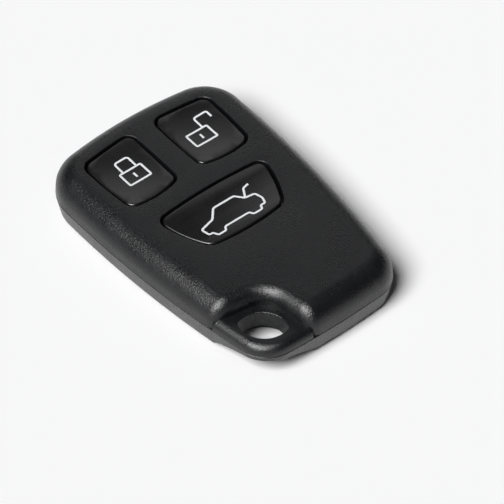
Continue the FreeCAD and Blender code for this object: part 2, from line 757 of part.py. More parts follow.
def make_top_case():
    body = new_body("top_case")
    height = value("sizes.height")
    make_block(body, "top", "sizes.height", "sizes.top_draft", "sizes.shoulder_radius")
    sketch = eye_sketch(body, "scoop_outline", "sizes.height")
    eye_scoop(sketch, "sizes.scoop_radius")
    pocket(body, "scoop", sketch, "sizes.height")
    dress(body, "Fillet", "lip", on_scoop_wall, "sizes.lip_radius")
    bevel_seam(body, "top_seam")
    join_body(body, "with_loop", make_loop(), "Fuse")
    join_body(body, "top_hollowed", upper_hollow(), "Cut")
    before = [middle_of(edge) for edge in body.Shape.Edges]
    cut_eye(body, "top_eye")
    rim = value("sizes.loop_top")
    dress(body, "Fillet", "eye_rim", lambda e: at_height(e, rim) and is_new(e, before), "sizes.eye_rim")
    before = [middle_of(edge) for edge in body.Shape.Edges]
    for name, outline in OUTLINES.items():
        sketch = new_sketch(body, name + "_opening_outline", offset="sizes.height")
        outline(sketch)
        pocket(body, name + "_opening", sketch, "2 * sizes.top_wall")
    dress(body, "Fillet", "opening_rims", lambda e: at_height(e, height) and is_new(e, before),
          "sizes.opening_edge")
    for name, (plane, offset, wall, way) in HOOKS.items():
        sketch = new_sketch(body, name + "_hook_profile", plane, offset)
        hook_profile(sketch, wall, way)
        hook = pad(body, name + "_hook", sketch, "sizes.hook_width", both_ways=True)
        if name == "side":
            mirror_across(body, "other_side_hook", hook)
    return body


def make_bottom_case():
    body = new_body("bottom_case")
    make_block(body, "bottom", "0", "sizes.base_draft", "sizes.base_round")
    join_body(body, "relieved", make_relief(), "Cut")
    dress(body, "Fillet", "relief_edge", on_relief_edge, "sizes.relief_edge")
    bevel_seam(body, "bottom_seam")
    join_body(body, "bottom_hollowed", lower_hollow(), "Cut")
    sketch = new_sketch(body, "tongue_outline", offset="sizes.parting")
    case_outline(sketch, "sizes.wall - sizes.tongue_thickness")
    case_outline(sketch, "sizes.wall")
    pad(body, "tongue", sketch, "sizes.tongue_height")
    keep_eye_solid(body, "tongue_end", "sizes.parting", "sizes.height")
    cut_eye(body, "bottom_eye")
    root = "sizes.floor_wall / 2"
    sketch = new_sketch(body, "post_outlines", offset=root)
    for x, y in POSTS:
        circle(sketch, x, y, "sizes.post_radius")
    pad(body, "posts", sketch, "places.board_bottom - " + root)
    sketch = new_sketch(body, "pin_outlines", offset="places.board_bottom")
    for x, y in POSTS:
        circle(sketch, x, y, "sizes.pin_radius")
    pad(body, "pins", sketch, "sizes.board_thickness + sizes.pin_proud")
    inner = "sizes.cell_radius + sizes.cradle_gap"
    sketch = new_sketch(body, "cradle_outline", offset=root)
    circle(sketch, "sizes.cell_x", "places.cell_middle_y", inner)
    circle(sketch, "sizes.cell_x", "places.cell_middle_y", inner + " + sizes.cradle_wall")
    pad(body, "cradle", sketch, "places.cell_bottom + sizes.cradle_tall - " + root)
    sketch = new_sketch(body, "seat_outline", offset=root)
    circle(sketch, "sizes.cell_x", "places.cell_middle_y", "sizes.seat_radius")
    pad(body, "seat", sketch, "places.cell_bottom - " + root)
    for name, (plane, offset, wall, way) in HOOKS.items():
        sketch = new_sketch(body, name + "_catch_profile", plane, offset)
        catch_profile(sketch, wall, way)
        catch = pocket(body, name + "_catch", sketch, "sizes.hook_width + 2 * sizes.barb_gap",
                       both_ways=True)
        if name == "side":
            mirror_across(body, "other_side_catch", catch)
    return body


def make_button(name, x, y):
    """A cap that stands in its opening on a wider flange, with a dished top."""
    label = name + "_button"
    body = new_body(label)
    sketch = new_sketch(body, label + "_flange_outline", offset="places.mat_top")
    OUTLINES[name](sketch, "-sizes.flange_over")
    pad(body, label + "_flange", sketch, "sizes.flange_thickness")
    sketch = new_sketch(body, label + "_cap_outline", offset="places.mat_top")
    OUTLINES[name](sketch, "sizes.button_gap")
    pad(body, label + "_cap", sketch, "sizes.height - places.mat_top")
    make_dish(body, name, x, y)
    low = value("sizes.height - sizes.top_wall")
    dress(body, "Fillet", label + "_edge", lambda e: e.BoundBox.ZMin > low and not upright(e),
          "sizes.button_edge")
    return body


def make_dish(body, name, x, y):
    """Hollow a button's face: a round dish on the upper two, a trough along X on the wide one."""
    if name == "boot":
        dish = body.newObject("PartDesign::SubtractiveCylinder", "boot_button_dish")
        dish.Placement.Rotation = FreeCAD.Rotation(FreeCAD.Vector(0, 1, 0), 90)
        bind(dish, Radius="sizes.boot_dish_radius", Height="sizes.width",
             Placement__Base__x=x + " - sizes.width / 2",
             Placement__Base__z="sizes.height - sizes.boot_dish_depth + sizes.boot_dish_radius")
    else:
        dish = body.newObject("PartDesign::SubtractiveSphere", name + "_button_dish")
        bind(dish, Radius="sizes.key_dish_radius", Placement__Base__x=x,
             Placement__Base__z="sizes.height - sizes.key_dish_depth + sizes.key_dish_radius")
    bind(dish, Placement__Base__y=y)
    doc.recompute()


def make_mat():
    """Silicone sheet under the button flanges, with a skirt on the board and three bosses."""
    body = new_body("keypad_mat")
    sketch = new_sketch(body, "mat_outline", offset="places.board_top")
    case_outline(sketch, "sizes.mat_inset")
    pad(body, "mat_block", sketch, "places.mat_top - places.board_top")
    sketch = new_sketch(body, "mat_room_outline", offset="places.board_top")
    case_outline(sketch, "sizes.mat_inset + sizes.mat_skirt")
    pocket(body, "mat_room", sketch, "places.mat_top - sizes.mat_sheet - places.board_top", upwards=True)
    sketch = new_sketch(body, "mat_end_outline", offset="places.board_top")
    end = "sizes.boot_bottom_y - sizes.mat_end_y"
    polygon(sketch, [("-sizes.width", "-sizes.length"), ("sizes.width", "-sizes.length"),
                     ("sizes.width", end), ("-sizes.width", end)])
    pocket(body, "mat_end", sketch, "sizes.height", upwards=True)
    sketch = new_sketch(body, "mat_boss_outlines", offset="places.switch_tip + sizes.mat_boss_gap")
    for name, x, y in SWITCHES:
        circle(sketch, x, y, "sizes.mat_boss_radius")
    pad(body, "mat_bosses", sketch, "places.mat_top - places.switch_tip - sizes.mat_boss_gap")
    return body


def make_board():
    body = new_body("circuit_board")
    sketch = new_sketch(body, "board_outline", offset="places.board_bottom")
    case_outline(sketch, "sizes.board_inset")
    pad(body, "board_plate", sketch, "sizes.board_thickness")
    keep_eye_solid(body, "board_corner", "places.board_bottom", "sizes.height",
                   "sizes.scoop_wall + sizes.board_eye_gap")
    sketch = new_sketch(body, "board_holes", offset="places.board_bottom")
    for x, y in POSTS:
        circle(sketch, x, y, "sizes.pin_radius + sizes.pin_gap")
    pocket(body, "board_drilled", sketch, "sizes.height", upwards=True)
    return body


def make_switch(name, x, y):
    """Tactile switch body with a round well for its plunger."""
    body = new_body(name + "_switch")
    half = "sizes.switch_side / 2"
    sketch = new_sketch(body, name + "_switch_outline")
    polygon(sketch, [("-" + half, "-" + half), (half, "-" + half), (half, half), ("-" + half, half)])
    pad(body, name + "_switch_block", sketch, "sizes.switch_tall")
    dress(body, "Chamfer", name + "_switch_corners", upright, "sizes.switch_chamfer", prop="Size")
    sketch = new_sketch(body, name + "_switch_well_outline", offset="sizes.switch_tall")
    circle(sketch, "0", "0", "sizes.plunger_radius + sizes.plunger_gap")
    pocket(body, name + "_switch_well", sketch,
           "sizes.plunger_seat + sizes.plunger_travel + sizes.plunger_stop")
    bind(body, Placement__Base__x=x, Placement__Base__y=y, Placement__Base__z="places.board_top")
    return body


def make_plunger(name, x, y):
    body = new_body(name + "_plunger")
    sketch = new_sketch(body, name + "_plunger_outline")
    circle(sketch, "0", "0", "sizes.plunger_radius")
    pad(body, name + "_plunger_block", sketch, "sizes.plunger_seat + sizes.plunger_proud")
    tip = value("sizes.plunger_seat + sizes.plunger_proud")
    dress(body, "Chamfer", name + "_plunger_tip", lambda e: at_height(e, tip),
          "sizes.plunger_edge", prop="Size")
    bind(body, Placement__Base__x=x, Placement__Base__y=y,
         Placement__Base__z="places.board_top + sizes.switch_tall - sizes.plunger_seat")
    return body


def make_cell():
    """Coin cell: a flat can with a slightly smaller cap on its upper side."""
    body = new_body("coin_cell")
    sketch = new_sketch(body, "cell_profile", "XZ_Plane")
    shoulder = "sizes.cell_tall - sizes.cell_cap_step"
    polygon(sketch, [
        ("0", "0"), ("sizes.cell_radius - sizes.cell_edge", "0"), ("sizes.cell_radius", "sizes.cell_edge"),
        ("sizes.cell_radius", shoulder + " - sizes.cell_edge"),
        ("sizes.cell_radius - sizes.cell_edge", shoulder), ("sizes.cell_cap_radius", shoulder),
        ("sizes.cell_cap_radius", "sizes.cell_tall"), ("0", "sizes.cell_tall"),
    ])
    turned = body.newObject("PartDesign::Revolution", "cell_turned")
    turned.Profile = sketch
    turned.ReferenceAxis = (sketch, ["V_Axis"])
    bind(body, Placement__Base__x="sizes.cell_x", Placement__Base__y="places.cell_middle_y",
         Placement__Base__z="places.cell_bottom")
    return body


def make_leaf_contact():
    """Negative contact: a bent strip under the board whose two leaves press the cell's cap."""
    body = new_body("negative_contact")
    root, run = "sizes.leaf_base", "(sizes.leaf_base + sizes.leaf_run)"
    tip = "(sizes.leaf_base + sizes.leaf_run + sizes.leaf_pad)"
    under = "places.cell_top - places.board_bottom"
    over = "sizes.strip + places.cell_top - places.board_bottom"
    right = [(root, "-sizes.strip"), (run, under), (tip, under), (tip, over), (run, over), (root, "0")]
    left = [("-" + x, z) for x, z in reversed(right)]
    sketch = new_sketch(body, "leaf_profile", "XZ_Plane")
    polygon(sketch, right + left)
    pad(body, "leaf_strip", sketch, "sizes.leaf_width", both_ways=True)
    bind(body, Placement__Base__x="sizes.cell_x", Placement__Base__y="places.cell_middle_y",
         Placement__Base__z="places.board_bottom")
    return body


def primitive(kind, name, **expressions):
    item = doc.addObject("Part::" + kind, name)
    bind(item, **expressions)
    return item


def boolean(kind, label, base, tool):
    item = doc.addObject("Part::" + kind, label)
    item.Label = label
    item.Base, item.Tool = base, tool
    return item


def make_strap_contact():
    """Positive contact: an arc of strip against the cell's rim, with a foot on the board."""
    inner = "sizes.cell_radius + sizes.strap_gap"
    low = "(places.cell_bottom + sizes.cradle_tall + sizes.strap_gap)"
    middle = {"Placement__Base__x": "sizes.cell_x", "Placement__Base__y": "places.cell_middle_y"}
    arc = {"Angle": "sizes.strap_angle", "Placement__Rotation__Angle":
           "sizes.strap_turn - sizes.strap_angle / 2"}
    band = primitive("Cylinder", "strap_band", Radius=inner + " + sizes.strip",
                     Height="places.board_bottom - " + low, Placement__Base__z=low, **middle, **arc)
    foot = primitive("Cylinder", "strap_foot_block", Radius=inner + " + sizes.strap_foot",
                     Height="sizes.strip", Placement__Base__z="places.board_bottom - sizes.strip",
                     **middle, **arc)
    core = primitive("Cylinder", "strap_core", Radius=inner, Height="sizes.height", **middle)
    both = boolean("Fuse", "strap_blank", band, foot)
    return boolean("Cut", "positive_contact", both, core)


def make_antenna():
    """Loop antenna: an open rectangular turn of strip on the board."""
    body = new_body("loop_antenna")
    sketch = new_sketch(body, "antenna_outline", offset="places.board_top")
    left, right = "places.eye_middle_x + sizes.antenna_left", "sizes.width / 2 - sizes.antenna_right"
    low, high = "sizes.antenna_bottom - sizes.length / 2", "sizes.antenna_top - sizes.length / 2"
    inner_left, inner_right = left + " + sizes.antenna_strip", right + " - sizes.antenna_strip"
    inner_low = low + " + sizes.antenna_strip"
    polygon(sketch, [
        (left, high), (left, low), (right, low), (right, high),
        (inner_right, high), (inner_right, inner_low), (inner_left, inner_low), (inner_left, high),
    ])
    pad(body, "antenna_strip_block", sketch, "sizes.antenna_tall")
    return body


def make_component(label, numbers):
    """A moulded block on the board, or hanging under it, with its legs."""
    def size(key):
        return "sizes." + label + "_" + key
    if numbers["under"]:
        middle_y = "sizes.length / 2 - " + size("y")
        low, leg_low = "places.board_bottom - " + size("tall"), "places.board_bottom - sizes.leg_tall"
    else:
        middle_y = size("y") + " - sizes.length / 2"
        low, leg_low = "places.board_top", "places.board_top"
    block = primitive("Box", label + "_block", Length=size("long"), Width=size("wide"), Height=size("tall"),
                      Placement__Base__x=size("x") + " - " + size("long") + " / 2",
                      Placement__Base__y=middle_y + " - " + size("wide") + " / 2",
                      Placement__Base__z=low)
    if not numbers["legs"]:
        return bevelled(block, label)
    pieces = [block]
    for i in range(numbers["legs"]):
        shift = "(%g) * sizes.leg_pitch" % (i - (numbers["legs"] - 1) / 2)
        leg = primitive("Box", "%s_leg_%d" % (label, i + 1), Length="sizes.leg_wide",
                        Width=size("wide") + " + 2 * sizes.leg_reach", Height="sizes.leg_tall",
                        Placement__Base__x=size("x") + " + " + shift + " - sizes.leg_wide / 2",
                        Placement__Base__y=middle_y + " - " + size("wide") + " / 2 - sizes.leg_reach",
                        Placement__Base__z=leg_low)
        pieces.append(leg)
    joined = doc.addObject("Part::MultiFuse", label)
    joined.Shapes = pieces
    joined.Label = label
    return joined


def bevelled(block, label):
    """A small can or chip: the block with its four upright edges bevelled."""
    doc.recompute()
    can = doc.addObject("Part::Chamfer", label)
    can.Base = block
    bevel = value("sizes.chip_bevel")
    can.Edges = [(i + 1, bevel, bevel) for i, edge in enumerate(block.Shape.Edges) if upright(edge)]
    can.Label = label
    return can


def make_row(label, count):
    """A row of small chip parts under the board."""
    pieces = []
    for i in range(count):
        pieces.append(primitive(
            "Box", "%s_%d" % (label, i + 1),
            Length="sizes.chip_long", Width="sizes.chip_wide", Height="sizes.chip_tall",
            Placement__Base__x="sizes.%s_x - sizes.chip_long / 2" % label,
            Placement__Base__y="sizes.length / 2 - sizes.%s_y + %d * sizes.chip_pitch"
                               " - sizes.chip_wide / 2" % (label, i),
            Placement__Base__z="places.board_bottom - sizes.chip_tall"))
    group = doc.addObject("Part::Compound", label)
    group.Links = pieces
    group.Label = label
    return group


def make_everything():
    """Every piece of the fob, in the order in which it is put together."""
    pieces = [make_bottom_case(), make_cell(), make_strap_contact(), make_leaf_contact(), make_board()]
    pieces += [make_component(label, numbers) for label, numbers in COMPONENTS.items()]
    pieces += [make_row(label, numbers["count"]) for label, numbers in ROWS.items()]
    pieces.append(make_antenna())
    for name, x, y in SWITCHES:
        pieces += [make_switch(name, x, y), make_plunger(name, x, y)]
    pieces.append(make_mat())
    pieces += [make_button(name, x, y) for name, x, y in SWITCHES]
    pieces.append(make_top_case())
    return pieces


def write_everything(pieces):
    """Check every object, then write each piece to its own file."""
    doc.recompute()
    broken = [item.Name for item in doc.Objects if "Invalid" in item.State or "Error" in item.State]
    if broken:
        raise RuntimeError("failed objects: " + ", ".join(broken))
    os.makedirs("parts", exist_ok=True)
    for piece in pieces:
        if piece.Shape.isNull() or not piece.Shape.isValid():
            raise RuntimeError(piece.Label + " has no valid shape")
    for piece in pieces:
        piece.Shape.exportStep("parts/" + piece.Label + ".step")
        solids = len(piece.Shape.Solids)
        print("%-20s %d solid(s) %9.2f mm3" % (piece.Label, solids, piece.Shape.Volume))


write_everything(make_everything())
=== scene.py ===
import bmesh
import bpy
import json
import math
from mathutils import Matrix, Vector
from mathutils.bvhtree import BVHTree


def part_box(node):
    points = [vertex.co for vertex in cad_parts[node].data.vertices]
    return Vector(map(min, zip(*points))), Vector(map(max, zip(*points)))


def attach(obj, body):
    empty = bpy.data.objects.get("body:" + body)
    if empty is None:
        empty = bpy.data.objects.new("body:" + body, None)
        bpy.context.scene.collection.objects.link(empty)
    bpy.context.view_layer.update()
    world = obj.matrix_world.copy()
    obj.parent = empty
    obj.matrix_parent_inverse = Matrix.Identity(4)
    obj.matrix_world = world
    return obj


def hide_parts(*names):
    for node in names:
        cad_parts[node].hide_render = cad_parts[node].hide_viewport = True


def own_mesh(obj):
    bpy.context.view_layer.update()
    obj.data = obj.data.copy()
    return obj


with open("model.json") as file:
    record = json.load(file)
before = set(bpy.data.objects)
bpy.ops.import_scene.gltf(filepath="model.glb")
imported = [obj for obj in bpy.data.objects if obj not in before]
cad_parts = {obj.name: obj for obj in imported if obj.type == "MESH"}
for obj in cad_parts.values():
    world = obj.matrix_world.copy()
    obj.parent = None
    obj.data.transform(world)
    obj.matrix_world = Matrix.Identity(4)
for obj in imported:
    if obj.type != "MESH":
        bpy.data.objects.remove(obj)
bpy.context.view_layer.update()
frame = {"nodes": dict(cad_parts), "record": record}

MM = 0.001
NODES = frame["nodes"]
SLOTS = {part["node"]: part["material_slot"] for part in frame["record"]["subparts"]}

# The sizes from here to the next function are in millimetres.
# Points nearer than these are joined: in copies of the solids, and in new pieces
JOIN_SOLID = 0.002
JOIN_PIECE = 0.001
# Points whose heights differ by less than this lie on one level
LEVEL = 0.01
# Keypad: thickness of its pads, height of the bosses' tips above the table, how far a pad
# stays inside its button's flange, the round of its rims, and the frame's gap round a flange
PAD_PLATE = 0.6
BOSS_TIP = 7.05
PAD_INSET = 0.1
PAD_ROUND = 0.12
FRAME_GAP = 0.12
# Width and height of the printed strokes, and where the two padlocks have their middle
MARK_WIDTH = 0.4
MARK_TALL = 0.03
LOCK_PLACE = (-7.6, 16.6)
UNLOCK_PLACE = (7.4, 16.6)


def new_group(name, inputs, outputs):
    """A shader group with number inputs, given with their first values, and named outputs."""
    group = bpy.data.node_groups.new(name, "ShaderNodeTree")
    for label, number in inputs:
        socket = group.interface.new_socket(
            name=label, in_out="INPUT", socket_type="NodeSocketFloat")
        socket.default_value = number
    for label in outputs:
        group.interface.new_socket(name=label, in_out="OUTPUT", socket_type="NodeSocketFloat")
    start = group.nodes.new("NodeGroupInput")
    end = group.nodes.new("NodeGroupOutput")
    return group, start, end


def noise(tree, coordinates, detail, roughness):
    """A Noise node on the given coordinates."""
    node = tree.nodes.new("ShaderNodeTexNoise")
    node.inputs["Detail"].default_value = detail
    node.inputs["Roughness"].default_value = roughness
    tree.links.new(coordinates, node.inputs["Vector"])
    return node


def calculate(tree, operation, *sources):
    """The result of a Math node on sockets or numbers."""
    node = tree.nodes.new("ShaderNodeMath")
    node.operation = operation
    for socket, source in zip(node.inputs, sources):
        if isinstance(source, (int, float)):
            socket.default_value = source
        else:
            tree.links.new(source, socket)
    return node.outputs["Value"]


def moulded_grain():
    """Spark-eroded mould grain: pits for the bump, and a slight change of shade and gloss."""
    group, start, end = new_group(
        "moulded grain",
        (("Pits per metre", 5000.0), ("Shade change", 0.1)),
        ("Height", "Shade", "Gloss"))
    place = group.nodes.new("ShaderNodeTexCoord").outputs["Object"]
    pits = noise(group, place, 3.0, 0.55)
    group.links.new(start.outputs["Pits per metre"], pits.inputs["Scale"])
    clouds = noise(group, place, 2.0, 0.5)
    clouds.inputs["Scale"].default_value = 160.0
    group.links.new(pits.outputs["Fac"], end.inputs["Height"])
    swing = calculate(group, "SUBTRACT", clouds.outputs["Fac"], 0.5)
    fleck = calculate(group, "SUBTRACT", pits.outputs["Fac"], 0.5)
    both = calculate(group, "ADD", swing, fleck)
    change = calculate(group, "MULTIPLY", both, start.outputs["Shade change"])
    group.links.new(calculate(group, "ADD", change, 1.0), end.inputs["Shade"])
    group.links.new(both, end.inputs["Gloss"])
    return group


def brushed_lines():
    """Fine lines along X, as rolling and brushing leave on strip and sheet metal."""
    group, start, end = new_group(
        "brushed lines", (("Lines per metre", 9000.0),), ("Height", "Shade"))
    coordinates = group.nodes.new("ShaderNodeTexCoord")
    stretch = group.nodes.new("ShaderNodeMapping")
    stretch.inputs["Scale"].default_value = (0.03, 1.0, 1.0)
    group.links.new(coordinates.outputs["Object"], stretch.inputs["Vector"])
    lines = noise(group, stretch.outputs["Vector"], 2.0, 0.5)
    group.links.new(start.outputs["Lines per metre"], lines.inputs["Scale"])
    group.links.new(lines.outputs["Fac"], end.inputs["Height"])
    shade = calculate(group, "MULTIPLY_ADD", lines.outputs["Fac"], 0.3, 0.5)
    group.links.new(shade, end.inputs["Shade"])
    return group


def board_tracks():
    """Copper tracks under solder mask: broken rows of lines, slightly raised and paler."""
    group, start, end = new_group("board tracks", (("Rows per metre", 900.0),), ("Height", "Shade"))
    place = group.nodes.new("ShaderNodeTexCoord").outputs["Object"]
    rows = group.nodes.new("ShaderNodeTexBrick")
    rows.offset_frequency, rows.squash_frequency, rows.squash = 3, 2, 0.6
    group.links.new(place, rows.inputs["Vector"])
    group.links.new(start.outputs["Rows per metre"], rows.inputs["Scale"])
    for label, size in (("Mortar Size", 0.07), ("Mortar Smooth", 0.3),
                        ("Brick Width", 4.6), ("Row Height", 0.7)):
        rows.inputs[label].default_value = size
    patches = noise(group, place, 1.0, 0.5)
    patches.inputs["Scale"].default_value = 260.0
    kept = calculate(group, "GREATER_THAN", patches.outputs["Fac"], 0.47)
    track = calculate(group, "MULTIPLY", rows.outputs["Fac"], kept)
    group.links.new(track, end.inputs["Height"])
    paler = calculate(group, "MULTIPLY", track, 1.6)
    group.links.new(calculate(group, "ADD", paler, 0.8), end.inputs["Shade"])
    return group


GRAIN = moulded_grain()
BRUSHED = brushed_lines()
TRACKS = board_tracks()


def new_material(name, roughness, metallic=0.0):
    """A material, its node tree and its shader."""
    material = bpy.data.materials.new(name)
    material.use_nodes = True
    shader = material.node_tree.nodes["Principled BSDF"]
    shader.inputs["Roughness"].default_value = roughness
    shader.inputs["Metallic"].default_value = metallic
    return material, material.node_tree, shader


def add_group(tree, group, **values):
    """Place a shader group, with values for its inputs (an underscore stands for a space)."""
    node = tree.nodes.new("ShaderNodeGroup")
    node.node_tree = group
    for label, number in values.items():
        node.inputs[label.replace("_", " ")].default_value = number
    return node


def add_bump(tree, shader, height, strength, depth):
    """Bump from a height that changes over the surface; the depth is in metres."""
    bump = tree.nodes.new("ShaderNodeBump")
    bump.inputs["Strength"].default_value = strength
    bump.inputs["Distance"].default_value = depth
    tree.links.new(height, bump.inputs["Height"])
    tree.links.new(bump.outputs["Normal"], shader.inputs["Normal"])


def shaded(tree, shader, colour, shade):
    """Base colour times a shade that changes over the surface."""
    # In its colour mode, a Mix node has A, B and the result at places 6, 7 and 2
    mix = tree.nodes.new("ShaderNodeMix")
    mix.data_type = "RGBA"
    mix.blend_type = "MULTIPLY"
    mix.inputs["Factor"].default_value = 1.0
    mix.inputs[6].default_value = (*colour, 1.0)
    tree.links.new(shade, mix.inputs[7])
    tree.links.new(mix.outputs[2], shader.inputs["Base Color"])


def moulded(name, colour, roughness, pits, strength, depth, shade=0.3, gloss=0.15, shine=0.5):
    """Moulded plastic or rubber with its own grain."""
    material, tree, shader = new_material(name, roughness)
    shader.inputs["Specular IOR Level"].default_value = shine
    grain = add_group(tree, GRAIN, Pits_per_metre=pits, Shade_change=shade)
    shaded(tree, shader, colour, grain.outputs["Shade"])
    swing = calculate(tree, "MULTIPLY", grain.outputs["Gloss"], gloss)
    tree.links.new(calculate(tree, "ADD", swing, roughness), shader.inputs["Roughness"])
    add_bump(tree, shader, grain.outputs["Height"], strength, depth)
    return material


def metal(name, colour, roughness, lines):
    """Rolled or brushed metal."""
    material, tree, shader = new_material(name, roughness, metallic=1.0)
    brushed = add_group(tree, BRUSHED, Lines_per_metre=lines)
    shaded(tree, shader, colour, brushed.outputs["Shade"])
    add_bump(tree, shader, brushed.outputs["Height"], 0.2, 0.00001)
    return material


def laminate(name, colour, roughness, rows):
    """Circuit board with tracks under its glossy solder mask."""
    material, tree, shader = new_material(name, roughness)
    tracks = add_group(tree, TRACKS, Rows_per_metre=rows)
    shaded(tree, shader, colour, tracks.outputs["Shade"])
    add_bump(tree, shader, tracks.outputs["Height"], 0.4, 0.00004)
    return material


MATERIALS = {
    "case_plastic": moulded("case plastic", (0.0052, 0.0056, 0.0066), 0.30, 3800.0, 1.0, 0.00009),
    "button_plastic": moulded("button plastic", (0.0042, 0.0042, 0.0046), 0.28, 9000.0, 0.15,
                              0.00001, shine=0.6),
    "mat_silicone": moulded("mat silicone", (0.055, 0.056, 0.06), 0.62, 3000.0, 0.2, 0.00001),
    "board_laminate": laminate("board laminate", (0.012, 0.11, 0.045), 0.28, 900.0),
    "cell_steel": metal("cell steel", (0.62, 0.62, 0.60), 0.24, 9000.0),
    "contact_strip": metal("contact strip", (0.66, 0.62, 0.50), 0.3, 7000.0),
    "chip_resin": moulded("chip resin", (0.018, 0.018, 0.018), 0.55, 8000.0, 0.3, 0.00001),
    "crystal_can": metal("crystal can", (0.70, 0.70, 0.72), 0.32, 6000.0),
    "ceramic": moulded("ceramic", (0.33, 0.27, 0.21), 0.5, 7000.0, 0.2, 0.00001),
    "antenna_copper": metal("antenna copper", (0.72, 0.43, 0.25), 0.33, 7000.0),
    "switch_plastic": moulded("switch plastic", (0.03, 0.03, 0.032), 0.42, 8000.0, 0.2, 0.00001),
    "plunger_plastic": moulded("plunger plastic", (0.66, 0.64, 0.57), 0.4, 8000.0, 0.1, 0.00001,
                               shade=0.1),
    "symbol_print": moulded("symbol print", (0.80, 0.82, 0.84), 0.5, 9000.0, 0.2, 0.000005,
                            shade=0.12),
}


def linked_object(shape, name):
    """Turn a bmesh into an object of the scene."""
    mesh = bpy.data.meshes.new(name)
    shape.to_mesh(mesh)
    shape.free()
    item = bpy.data.objects.new(name, mesh)
    bpy.context.scene.collection.objects.link(item)
    return item


def finish_mesh(shape, name, slot, body):
    """Turn a bmesh into a piece that rides on a body and has its slot's material."""
    piece = linked_object(shape, name)
    piece.data.materials.append(MATERIALS[slot])
    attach(piece, body)
    return piece


def smooth_below(shape, crease):
    """Shade smoothly, with edges sharper than the crease angle kept crisp."""
    for face in shape.faces:
        face.smooth = True
    for edge in shape.edges:
        edge.smooth = edge.is_manifold and edge.calc_face_angle(math.pi) < math.radians(crease)


def joined_solid(node):
    """A solid's mesh as a bmesh with its loose triangles joined."""
    shape = bmesh.new()
    shape.from_mesh(NODES[node].data)
    bmesh.ops.remove_doubles(shape, verts=shape.verts, dist=JOIN_SOLID * MM)
    return shape


def moulded_copy(node, name, body, crease=25.0):
    """A joined-up copy of a solid, shaded as the moulding is, which stands for it."""
    shape = joined_solid(node)
    smooth_below(shape, crease)
    piece = finish_mesh(shape, name, SLOTS[node], body)
    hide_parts(node)
    return piece


moulded_copy("top_case", "upper_shell", "case")
moulded_copy("bottom_case", "lower_shell", "case")
lock_cap = moulded_copy("lock_button", "lock_cap", "lock_button")
unlock_cap = moulded_copy("unlock_button", "unlock_cap", "unlock_button")
boot_cap = moulded_copy("boot_button", "boot_cap", "boot_button")

# The solids that stay in view get their finish here
for node, item in NODES.items():
    item.data.materials.clear()
    item.data.materials.append(MATERIALS[SLOTS[node]])


def flange_face(node):
    """The flat underside of a button's flange as a bmesh of one face, and its height."""
    shape = joined_solid(node)
    low = min(point.co.z for point in shape.verts)
    spare = [face for face in shape.faces if any(p.co.z > low + LEVEL * MM for p in face.verts)]
    bmesh.ops.delete(shape, geom=spare, context="FACES")
    bmesh.ops.dissolve_faces(shape, faces=shape.faces)
    loose = [point for point in shape.verts if not point.link_faces]
    bmesh.ops.delete(shape, geom=loose, context="VERTS")
    return shape, low


def grow_face(shape, step):
    """Move the outline of a one-face bmesh outwards by a step, or inwards by a negative one."""
    face = next(iter(shape.faces))
    bmesh.ops.inset_individual(shape, faces=[face], thickness=-step, use_even_offset=True)
    rim = [other for other in shape.faces if other != face]
    bmesh.ops.delete(shape, geom=rim, context="FACES")


def lower_copy(shape, run):
    """Give a one-face bmesh a depth downwards, with its faces outwards."""
    top = next(iter(shape.faces))
    made = bmesh.ops.extrude_face_region(shape, geom=[top], use_keep_orig=True)
    moved = [item for item in made["geom"] if isinstance(item, bmesh.types.BMVert)]
    bmesh.ops.translate(shape, verts=moved, vec=Vector((0.0, 0.0, -run)))
    bmesh.ops.recalc_face_normals(shape, faces=shape.faces)


def add_turned(shape, profile, x, y):
    """Spin a profile of (radius, height) pairs, in millimetres, round an upright line."""
    points = [shape.verts.new(Vector((x + r, y, z)) * MM) for r, z in profile]
    edges = [shape.edges.new(pair) for pair in zip(points, points[1:])]
    bmesh.ops.spin(shape, geom=points + edges, cent=Vector((x, y, 0.0)) * MM,
                   axis=(0.0, 0.0, 1.0), angle=2 * math.pi, steps=48, use_merge=True)


def sprung_pad(name, node, x, y):
    """Pad of the keypad under one button: a plate with a lip, and a hollow-sided boss below."""
    shape, top = flange_face(node)
    grow_face(shape, -PAD_INSET * MM)
    lower_copy(shape, PAD_PLATE * MM)
    rims = [edge for edge in shape.edges
            if abs(edge.verts[0].co.z - edge.verts[1].co.z) < LEVEL * MM]
    bmesh.ops.bevel(shape, geom=rims, offset=PAD_ROUND * MM, offset_type="OFFSET", segments=2,
                    profile=0.5, affect="EDGES", material=-1)
    # The boss reaches a little way into the plate, and its foot and tip are rounded off
    high, low = top / MM - PAD_PLATE + 0.05, BOSS_TIP
    profile = [(0.0, low), (1.55, low), (1.75, low + 0.12), (1.8, low + 0.3), (2.0, high - 0.25),
               (2.7, high), (0.0, high)]
    add_turned(shape, profile, x, y)
    bmesh.ops.remove_doubles(shape, verts=shape.verts, dist=JOIN_PIECE * MM)
    bmesh.ops.recalc_face_normals(shape, faces=shape.faces)
    smooth_below(shape, 35.0)
    piece = finish_mesh(shape, name, "mat_silicone", "case")
    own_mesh(piece)
    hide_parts("keypad_mat")


